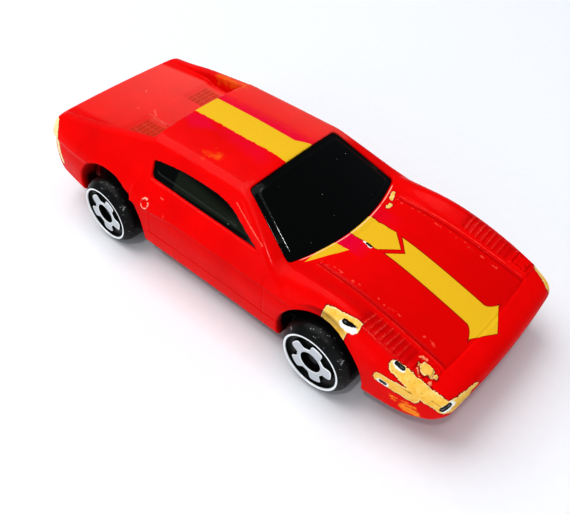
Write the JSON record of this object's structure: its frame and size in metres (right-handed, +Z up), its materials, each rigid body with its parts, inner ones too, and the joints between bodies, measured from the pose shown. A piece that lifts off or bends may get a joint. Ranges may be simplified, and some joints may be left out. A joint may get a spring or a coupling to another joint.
{
  "type": "diecast toy car",
  "caption": "Low wedge-shaped mid-engined diecast toy coupe with a riveted base, dark glazing and free-rolling wheels.",
  "frame": {"origin": "on the ground, under the centre of the bounding box", "axes": "+X forward towards the nose, +Y to the car's left, +Z up"},
  "size_m": [0.074, 0.0322, 0.0195],
  "materials": {
    "body_paint": "gloss, chipped",
    "base_plastic": "satin",
    "window_plastic": "gloss",
    "interior_plastic": "satin",
    "axle_steel": "drawn wire",
    "wheel_plastic": "semi-gloss, silver foil on the raised face",
    "rivet_metal": "spun"
  },
  "bodies": {
    "car": {"body_shell": "body_paint", "chassis_base": "base_plastic", "window_insert": "window_plastic", "interior_tub": "interior_plastic", "rivet_front": "rivet_metal", "rivet_rear": "rivet_metal"},
    "front_axle": {"front_axle": "axle_steel"},
    "rear_axle": {"rear_axle": "axle_steel"},
    "wheel_front_left": {"wheel_front_left": "wheel_plastic"},
    "wheel_front_right": {"wheel_front_right": "wheel_plastic"},
    "wheel_rear_left": {"wheel_rear_left": "wheel_plastic"},
    "wheel_rear_right": {"wheel_rear_right": "wheel_plastic"}
  },
  "joints": [
    {"name": "front_axle_spin", "type": "hinge", "parent": "car", "child": "front_axle", "pos_m": [0.0188, 0, 0.0053], "axis": [0, 1, 0], "continuous": true},
    {"name": "rear_axle_spin", "type": "hinge", "parent": "car", "child": "rear_axle", "pos_m": [-0.0218, 0, 0.0053], "axis": [0, 1, 0], "continuous": true},
    {"name": "wheel_front_left_spin", "type": "hinge", "parent": "front_axle", "child": "wheel_front_left", "pos_m": [0.0188, 0.01405, 0.0053], "axis": [0, 1, 0], "continuous": true},
    {"name": "wheel_front_right_spin", "type": "hinge", "parent": "front_axle", "child": "wheel_front_right", "pos_m": [0.0188, -0.01405, 0.0053], "axis": [0, 1, 0], "continuous": true},
    {"name": "wheel_rear_left_spin", "type": "hinge", "parent": "rear_axle", "child": "wheel_rear_left", "pos_m": [-0.0218, 0.01405, 0.0053], "axis": [0, 1, 0], "continuous": true},
    {"name": "wheel_rear_right_spin", "type": "hinge", "parent": "rear_axle", "child": "wheel_rear_right", "pos_m": [-0.0218, -0.01405, 0.0053], "axis": [0, 1, 0], "continuous": true}
  ]
}
